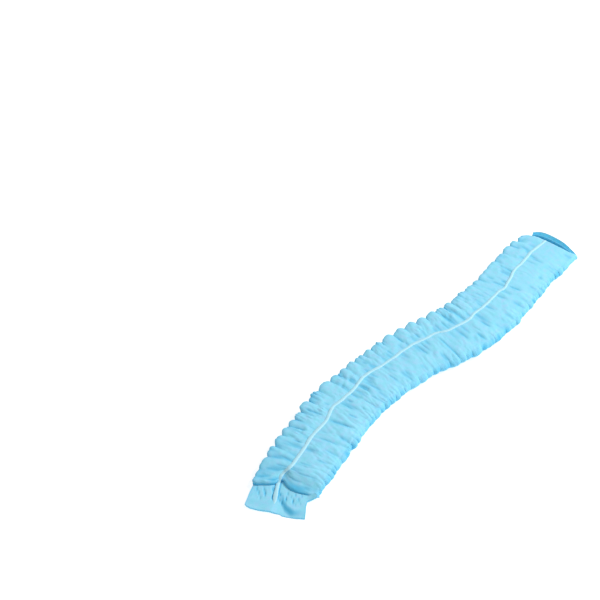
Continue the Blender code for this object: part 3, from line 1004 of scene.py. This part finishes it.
def flap_grid(rows, cut_line, end):
    """How far out of the body and how far left each point of a flap lies, before it bends."""
    half = float(half_width(end))
    nominal = steps(rows[0].out_mm, rows[-1].out_mm, FLAP_GRID[0])
    places = [row.out_mm for row in rows]
    frill = np.interp(nominal, places, [row.frill_side for row in rows])
    fold = np.interp(nominal, places, [row.fold_side for row in rows])
    left = half * (-fold + (frill + fold) * np.linspace(1, 0, FLAP_GRID[1]))
    out = np.where(nominal > 0, nominal / rows[-1].out_mm * curve(left, cut_line), nominal * MM)
    return out, left


out, left = flap_grid(NEAR_ROWS, NEAR_CUT, 0.0)
print("the near flap is", ((left.max() - left.min()) / MM).round(1), "mm wide")

# %% [markdown]
# ## Relief of the near flap
#
# The near flap comes out of the body's middle and droops to the table. Its fused block is thicker than the
# rest: a curved step runs from the elastic round to the cut edge. The weld leaves short ticks along the
# strip, and the elastic is pressed in between two grooves. Ticks and step were read off.

# %% Tables of the weld
NEAR_DROOP = [(-8, 1.6), (0, 2.1), (4, 1.9), (9, 1.5), (17, 1.2)]
STEP_LINE = [
    (-16, 12.6), (-11, 12.3), (-9.5, 12.3), (-7.6, 13.1), (-5.8, 12.7), (-3.1, 11.2), (-0.9, 8.4),
    (0.6, 5.6), (1.7, 4.0), (2.4, 3.4), (3.6, 9.0), (5, 10.5), (10, 12.0), (17, 12.0),
]
STEP_HEIGHTS = [
    (-16, 0.1), (-11, 0.2), (-8.5, 0.55), (-6, 0.9), (-3, 0.9), (-1, 0.7), (1.5, 0.3), (3, 0.1), (17, 0.1),
]
STEP_WIDTH = 5.2 * MM
Tick = namedtuple("Tick", "out_mm left_mm length_mm depth")
TICKS = [
    Tick(3.8, 13.9, 2.8, 0.7), Tick(5.6, 12.4, 3.2, 0.9), Tick(5.4, 9.2, 3.6, 1.3), Tick(3.0, 10.6, 2.6, 0.8),
    Tick(8.6, 10.6, 2.8, 0.5), Tick(6.6, 5.1, 3.4, 1.3), Tick(1.6, 6.7, 3.0, 1.1), Tick(3.8, 2.2, 2.2, 1.0),
    Tick(7.2, 1.4, 2.6, 1.1), Tick(8.6, -0.2, 2.4, 0.9), Tick(5.8, -1.4, 3.0, 1.3), Tick(2.4, -1.2, 2.2, 0.7),
    Tick(6.2, -5.0, 3.0, 1.3), Tick(2.2, -4.9, 2.0, 0.8), Tick(4.0, -3.3, 2.0, 0.5),
    Tick(4.4, -7.2, 2.6, 0.6), Tick(2.0, -8.0, 2.2, 0.6), Tick(6.8, -8.8, 2.0, 0.4),
    Tick(8.4, -6.9, 2.0, 0.3),
]
TICK_WIDTH = 0.46 * MM
TICK_LEAN = 0.25
print("ticks of the weld:", len(TICKS))

# %% Height and shade of the near flap
WELD_MIDDLE = 5 * MM
WELD_HALF = 4.5 * MM
WAVE_SIZE = 4 * MM
WAVE_HEIGHT = 0.13 * MM
STREAK_WIDTH = 1.1 * MM
STREAK_LENGTH = 5 * MM
STREAK_HEIGHT = 0.06 * MM
STREAK_PRESS = 0.4
PRESS_DEPTH = 0.30 * MM
SIDE_GROOVE_PLACE = 1.25 * MM
SIDE_GROOVE_WIDTH = 0.45 * MM
SIDE_GROOVE_DEPTH = 0.28 * MM
CORNER_RISE = 1.6 * MM
STEEP_STEP = 0.75 * MM
LOWEST_TOP = 0.35 * MM


def thread_on_flap(out):
    """How far left the elastic lies on the near flap."""
    return 5.05 * MM - 0.2 * out


def press_marks(out, left, streaks):
    """How hard the weld's ticks and faint streaks are pressed in at each point."""
    press = STREAK_PRESS * streaks.clip(0, 1)
    for tick in TICKS:
        away, beside = out - tick.out_mm * MM, left - tick.left_mm * MM
        along_tick = bell(away, 0, tick.length_mm * MM / 2)
        press += tick.depth * along_tick * bell(beside + TICK_LEAN * away, 0, TICK_WIDTH)
    return press


def near_relief(out, left):
    """Top of the near flap at each point, and its painted shade in the ticks, the grooves and on the step."""
    inside = np.exp(-(((out - WELD_MIDDLE) / WELD_HALF) ** 4))
    streaks = soft_noise(left / STREAK_WIDTH + 40, out / STREAK_LENGTH + 20, 53) * inside
    wave = WAVE_HEIGHT * soft_noise(left / WAVE_SIZE + 40, out / WAVE_SIZE + 20, 54)
    share = np.clip((curve(left, STEP_LINE) - out + 2 * wave) / STEP_WIDTH + 0.5, 0, 1)
    block = share * share * (3 - 2 * share)
    step = curve(left, STEP_HEIGHTS)
    press = press_marks(out, left, streaks)
    groove = bell(abs(left - thread_on_flap(out)), SIDE_GROOVE_PLACE, SIDE_GROOVE_WIDTH)
    groove = groove * ramp(out, 9 * MM, 6 * MM)
    corner = ramp(left, -10.5 * MM, -14.5 * MM) * ramp(out, 3.5 * MM, -1 * MM)
    top = curve(out, NEAR_DROOP) + wave + STREAK_HEIGHT * streaks - step * (1 - block)
    top += CORNER_RISE * corner - PRESS_DEPTH * press - SIDE_GROOVE_DEPTH * groove
    # Painted shade in the pressed ticks, in the grooves beside the elastic and on the step's slope.
    slope = (4 * share * (1 - share)) ** 1.5 * step / STEEP_STEP
    return top.clip(LOWEST_TOP), np.clip(0.85 * press + 0.8 * groove + 0.95 * slope, 0, 1.2)


top_height, near_flap_shade = near_relief(out, left)
print("the near flap is up to", (top_height.max() / MM).round(1), "mm high")

# %% Near flap
CUT_SHADE = 0.6
CUT_WIDTH = 0.35 * MM
FLAP_FLOOR_GAP = 0.03 * MM

# Painted shade: a thin darker line along the flap's cut edges.
to_border = np.minimum(np.minimum(left[:, :1] - left, left - left[:, -1:]), curve(left, NEAR_CUT) - out)
near_flap = closed_sheet(
    "flap_near",
    plan(-out, left, top_height),
    plan(-out, left, (top_height - FLAP_THICKNESS).clip(FLAP_FLOOR_GAP)),
    np.stack([left, out], axis=-1),
    np.clip(near_flap_shade + CUT_SHADE * bell(to_border, 0, CUT_WIDTH), 0, 1.3),
)
print("faces of the near flap:", len(near_flap.data.polygons))

# %% [markdown]
# ## The far flap
#
# The far flap curls up behind the body, so only its inner side shows over the body's end. Down in the fold
# it is painted darkest: painted shade, and partly the deeper blue of all the layers lying on each other
# there. Its rim is painted bright: painted light from behind, shining through. A crease measure above 1
# stands for the first and one below 0 for the second.

# %% Far flap
FAR_ROWS = [Weld(-7.0, 0.70, 0.80), Weld(2.0, 0.90, 0.93), Weld(10.4, 0.90, 0.90)]
FAR_CUT = [
    (-16, 4.6), (-14, 5.6), (-11, 6.6), (-7, 7.7), (-1.6, 8.6), (3, 9.0), (6, 9.0), (9, 8.6),
    (11.5, 7.8), (13, 6.6), (14.5, 4.4),
]
CURL_START = 2.2 * MM
CURL_RISE = 3.7 * MM
CURL_POWER = 1.6
CURL_SHARE = [(-14, 0.5), (-4, 1.0)]
FAR_LIGHT_AND_SHADE = [(0.45, 2.0), (0.60, 1.9), (0.72, 1.3), (0.77, -0.6), (0.90, -0.6), (1.0, -0.3)]
FAR_STREAKS = 0.15
FAR_WAVE = 0.12 * MM
INNER_RISE = 1.2 * MM
FAR_HALF_THICKNESS = 0.4
THIN_INSIDE = [(-1, 0.2), (1.5, 1.0)]

out, left = (grid[::-1] for grid in flap_grid(FAR_ROWS, FAR_CUT, BODY_LENGTH))
curl = ramp(out, CURL_START, curve(left, FAR_CUT))
height = WELD_HEIGHT + CURL_RISE * table(left / MM, CURL_SHARE) * curl ** CURL_POWER
height += FAR_WAVE * soft_noise(left / (3 * MM) + 20, out / (4 * MM) + 20, 63) * curl
height += INNER_RISE * ramp(out, 0, -4 * MM)
middle = plan(BODY_LENGTH + out, left, height)
shift = grid_normals(middle) * FLAP_THICKNESS * FAR_HALF_THICKNESS * table(out / MM, THIN_INSIDE)[..., None]
# Painted shade down in the fold and painted light towards the rim, with faint streaks.
shade = table(curl, FAR_LIGHT_AND_SHADE) + FAR_STREAKS * soft_noise(left / (1.2 * MM) + 40, out / (3 * MM) + 20, 64)
far_flap = closed_sheet("flap_far", middle + shift, middle - shift, np.stack([left, out], axis=-1), shade)
print("the far flap curls up to", (height.max() / MM).round(1), "mm")

# %% [markdown]
# ## The elastics
#
# A fine covered thread runs along the top, half sunk between the gathers, goes down over both bulges and is
# pressed flat in the near weld. A ring of points swept along a path makes a tube whose width and height
# can change on the way. A curve object with a bevel is quicker to make, but it can't be flattened like that.

# %% Sweep a thread
THREAD_SIDES = 10
BEAD = 0.04
BEAD_STEP = 0.42


def swept(name, middle, wide, high):
    """A closed tube along points, with its half width and half height at each of them."""
    ahead = np.gradient(middle, axis=0)
    ahead /= np.linalg.norm(ahead, axis=1, keepdims=True)
    side = np.cross([0, 0, 1], ahead)
    side /= np.linalg.norm(side, axis=1, keepdims=True)
    up = np.cross(ahead, side)
    angle = np.linspace(0, 2 * np.pi, THREAD_SIDES, endpoint=False)[:, None]
    flat, tall = wide[:, None, None], high[:, None, None]
    rings = middle[:, None] + np.cos(angle) * side[:, None] * flat + np.sin(angle) * up[:, None] * tall
    count = len(middle)
    index = np.arange(count * THREAD_SIDES).reshape(count, THREAD_SIDES)
    beside = np.roll(index, -1, axis=1)
    faces = np.stack([index[:-1], beside[:-1], beside[1:], index[1:]], axis=-1).reshape(-1, 4).tolist()
    faces += [index[0, ::-1].tolist(), index[-1].tolist()]
    mesh = bpy.data.meshes.new(name)
    mesh.from_pydata(rings.reshape(-1, 3).tolist(), [], faces)
    return in_scene(name, mesh)


def evenly(points, spacing):
    """The same line with points at about this spacing."""
    length = np.linalg.norm(np.diff(points, axis=0, prepend=points[:1]), axis=1).cumsum()
    places = np.linspace(0, length[-1], round(length[-1] / spacing))
    return np.stack([np.interp(places, length, column) for column in points.T], axis=1)


def beads(count):
    """A slow unevenness of a thread's thickness, as shares of it."""
    place = np.arange(count) * BEAD_STEP
    return 1 + BEAD * np.sin(place * 2.9) + 3 * BEAD * soft_noise(place / 3.6, 0 * place + 4, 71)


print("a thread's thickness varies from", beads(500).min().round(2), "to", beads(500).max().round(2))

# %% Upper elastic
ELASTIC_RADIUS = 0.80 * MM
THREAD_HEIGHT = 0.38
THREAD_SMOOTHING = 9
THREAD_WIDTHS = [(0, 0.35), (3, 0.9), (6, 1.15), (20, 1.2), (80, 1.1), (140, 1.0), (240, 1.0)]
THREAD_LIFT = [(2, 0.50), (8, 0.17)]
PRESSED = [(0, 1), (4, 1), (9, 0)]
PRESSED_WIDER = 0.3
PRESSED_LOWER = 0.12
TAIL_REACH = (10.6 * MM, -3.0 * MM)
TAIL_LIFT = [(-3, 0.15), (4, 0.08), (7, 0.02), (10.5, -0.22)]
HIDDEN_ROWS = 5

tail_out = np.linspace(*TAIL_REACH, 41)
tail_height, _ = near_relief(tail_out, thread_on_flap(tail_out))
near_tail = plan(-tail_out, thread_on_flap(tail_out), tail_height + curve(tail_out, TAIL_LIFT))
lifted = under_thread.copy()
lifted[:, 2] += MM * table(top.along / MM, THREAD_LIFT)
whole = np.concatenate([near_tail, lifted[BULGE_ROWS:-HIDDEN_ROWS]])
middle = smoothed(evenly(whole, TOP_SPACING), THREAD_SMOOTHING)
place = np.arange(len(middle)) * TOP_SPACING / MM
flat = table(place, PRESSED)
uneven = ELASTIC_RADIUS * beads(len(middle))
wide = table(place, THREAD_WIDTHS) * (1 + PRESSED_WIDER * flat) * uneven
upper_thread = swept("elastic_upper", middle, wide, (THREAD_HEIGHT - PRESSED_LOWER * flat) * uneven)
print("length of the upper elastic in mm:", round(place[-1]))

# %% Lower elastic
LOWER_INSET = 2 * MM
LOWER_HEIGHT = 0.58 * MM
LOWER_WIDE = 0.75
LOWER_HIGH = 0.65

low_distance = np.linspace(LOWER_INSET, BODY_LENGTH - LOWER_INSET, 400)
low_left = lower_elastic_place(low_distance)
middle = plan(low_distance, low_left, LOWER_HEIGHT + 0 * low_left)
uneven = ELASTIC_RADIUS * beads(len(middle))
lower_thread = swept("elastic_lower", middle, LOWER_WIDE * uneven, LOWER_HIGH * uneven)
print("length of the lower elastic in mm:", round((low_distance[-1] - low_distance[0]) / MM))

# %% [markdown]
# ## Maths of the materials
#
# A shader is maths on sockets. The small class below wraps a socket, so that ordinary Python expressions
# add the Math nodes. Any other node comes from its one method, with the node's settings first and then the
# values or links of its sockets.

# %% Socket maths
class Wire:
    """An output socket of a material, with Python's operators as Math nodes."""

    def __init__(self, tree, socket=None):
        self.tree = tree
        self.socket = socket

    def node(self, kind, settings=None, sockets=None, output=0):
        """Any node: its settings first, then the values or links of its sockets. Returns one output."""
        made = self.tree.nodes.new(kind)
        for name, value in (settings or {}).items():
            setattr(made, name, value)
        for name, value in (sockets or {}).items():
            if isinstance(value, Wire):
                self.tree.links.new(value.socket, made.inputs[name])
            else:
                made.inputs[name].default_value = value
        return Wire(self.tree, made.outputs[output])

    def maths(self, operation, first, second):
        """A Math node on two values or links."""
        return self.node("ShaderNodeMath", {"operation": operation}, {0: first, 1: second})

    def __mul__(self, other):
        return self.maths("MULTIPLY", self, other)

    __rmul__ = __mul__

    def __sub__(self, other):
        return self.maths("SUBTRACT", self, other)

    def __rsub__(self, other):
        return self.maths("SUBTRACT", other, self)

    def clamped(self):
        """The same value, kept between 0 and 1."""
        return self.node("ShaderNodeClamp", {}, {"Value": self})


def mix_colour(wire, share, first, second):
    """A mix of two colours, each a value or a link."""
    sockets = {"Factor": share, "A": first, "B": second}
    return wire.node("ShaderNodeMix", {"data_type": "RGBA"}, sockets, "Result")


def new_material(name):
    """An empty material with a Principled shader, and a wire to build its inputs with."""
    material = bpy.data.materials.new(name)
    material.use_nodes = True
    return material, material.node_tree.nodes["Principled BSDF"], Wire(material.node_tree)


print("Wire:", Wire.__doc__)

# %% [markdown]
# ## Nonwoven cloth
#
# Thin nonwoven isn't one blue. Open cloth is pale, with patches that lean towards lilac or aqua. The crease
# measure of the meshes picks the colour: pale at 0, painted shade in deep blue at 1 and the darkest painted
# shade at 2, which in the far weld also stands for the deeper blue of its layers lying on each other. Below 0
# it is painted light: the bright blue of cloth that light shines through. A translucent shader could do that
# too, but paint also holds in an exported model. A fine noise bumps the fibres.

# %% Cloth material
CLOTH_LIGHT = (0.30, 0.755, 0.97, 1)
CLOTH_LILAC = (0.37, 0.70, 0.97, 1)
CLOTH_AQUA = (0.25, 0.76, 0.92, 1)
# Painted shade for creases and hollows, the darkest for the far flap's fold; painted light for its rim.
CLOTH_SHADED = (0.09, 0.54, 0.84, 1)
CLOTH_SHADED_CORE = (0.001, 0.25, 0.47, 1)
CLOTH_LIT = (0.03, 0.66, 1.0, 1)
BLOTCH_SCALE = 420
BLOTCH_CONTRAST = 3.5
FIBRE_SCALE = 1500


def nonwoven():
    """Matte blue nonwoven, with painted shade in its creases and painted light on the far flap's rim."""
    material, shader, wire = new_material("blue_nonwoven")
    place = wire.node("ShaderNodeTexCoord", output="Object")
    crease = wire.node("ShaderNodeAttribute", {"attribute_name": "crease"}, output="Fac")
    blotch = wire.node("ShaderNodeTexNoise", {}, {"Vector": place, "Scale": BLOTCH_SCALE, "Detail": 3})
    fibre = wire.node("ShaderNodeTexNoise", {}, {"Vector": place, "Scale": FIBRE_SCALE, "Detail": 4})
    colour = mix_colour(wire, ((blotch - 0.5) * BLOTCH_CONTRAST).clamped(), CLOTH_LIGHT, CLOTH_LILAC)
    colour = mix_colour(wire, ((0.5 - blotch) * BLOTCH_CONTRAST).clamped(), colour, CLOTH_AQUA)
    # Painted shade where the crease measure rises above 0, and painted light where it falls below 0.
    colour = mix_colour(wire, crease.clamped(), colour, CLOTH_SHADED)
    colour = mix_colour(wire, (crease - 1).clamped(), colour, CLOTH_SHADED_CORE)
    colour = mix_colour(wire, (0 - crease).clamped(), colour, CLOTH_LIT)
    wire.tree.links.new(colour.socket, shader.inputs["Base Color"])
    bump = wire.node("ShaderNodeBump", {}, {"Height": fibre, "Strength": 0.35, "Distance": 0.0002})
    wire.tree.links.new(bump.socket, shader.inputs["Normal"])
    shader.inputs["Roughness"].default_value = 0.75
    shader.inputs["Sheen Weight"].default_value = 0.15
    return material


cloth_pieces = [top_sheet, under_sheet, near_flap, far_flap]
cloth_material = nonwoven()
for piece in cloth_pieces:
    piece.data.materials.append(cloth_material)
print("nodes of the cloth:", len(cloth_material.node_tree.nodes))

# %% [markdown]
# ## Covered thread
#
# The thread's covering is white, but it is so fine and so deep between the blue gathers that it looks a
# cool, pale blue. Small specks of two such tones are enough for it.

# %% Thread material
THREAD_DULL = (0.40, 0.76, 0.92, 1)
THREAD_BRIGHT = (0.52, 0.86, 0.97, 1)


def white_thread():
    """Off-white covered elastic."""
    material, shader, wire = new_material("white_elastic")
    place = wire.node("ShaderNodeTexCoord", output="Object")
    speck = wire.node("ShaderNodeTexNoise", {}, {"Vector": place, "Scale": 900, "Detail": 2})
    colour = mix_colour(wire, speck, THREAD_DULL, THREAD_BRIGHT)
    wire.tree.links.new(colour.socket, shader.inputs["Base Color"])
    shader.inputs["Roughness"].default_value = 0.55
    return material


threads = [upper_thread, lower_thread]
thread_material = white_thread()
for piece in threads:
    piece.data.materials.append(thread_material)
print("nodes of the thread:", len(thread_material.node_tree.nodes))

# %% [markdown]
# ## Floor and light
#
# The photograph's floor is plain white with hardly a shadow, so the floor glows a little by itself. One
# large soft lamp stands to the right, and white surroundings fill the rest.

# %% Floor
FLOOR_SIZE = 3.0
FLOOR_GLOW = 0.74

corner = FLOOR_SIZE / 2
floor_mesh = bpy.data.meshes.new("floor")
corners = [(-corner, -corner, 0), (corner, -corner, 0), (corner, corner, 0), (-corner, corner, 0)]
floor_mesh.from_pydata(corners, [], [(0, 1, 2, 3)])
floor = bpy.data.objects.new("floor", floor_mesh)
bpy.context.scene.collection.objects.link(floor)
floor_material, floor_shader, _ = new_material("white_table")
floor_shader.inputs["Base Color"].default_value = (0.5, 0.5, 0.5, 1)
floor_shader.inputs["Roughness"].default_value = 0.9
floor_shader.inputs["Emission Color"].default_value = (1, 1, 1, 1)
floor_shader.inputs["Emission Strength"].default_value = FLOOR_GLOW
floor_mesh.materials.append(floor_material)
print("floor:", FLOOR_SIZE, "m wide")

# %% World and lamp
WORLD_STRENGTH = 0.45
LAMP_PLACE = (0.86, -0.75, 1.15)
LAMP_SIZE = 0.6
LAMP_WATTS = 20.5

world = bpy.data.worlds.new("studio")
bpy.context.scene.world = world
world.use_nodes = True
world.node_tree.nodes["Background"].inputs["Color"].default_value = (1, 1, 1, 1)
world.node_tree.nodes["Background"].inputs["Strength"].default_value = WORLD_STRENGTH

lamp_data = bpy.data.lights.new("key", "AREA")
lamp_data.size = LAMP_SIZE
lamp_data.energy = LAMP_WATTS
aimed(bpy.data.objects.new("key", lamp_data), LAMP_PLACE, (0, 0, 0))
bpy.context.scene.view_settings.view_transform = "Standard"
print("lamp at", round(Vector(LAMP_PLACE).length, 2), "m")

# All of them ride on the one body, and each takes the place of a solid of the CAD model.

# %% Ride and replace
for piece in cloth_pieces + threads:
    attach(piece, "root")
for piece in cloth_pieces:
    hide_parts("cap_web")
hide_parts("upper_elastic")
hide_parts("lower_elastic")
print("pieces handed over:", len(cloth_pieces + threads))
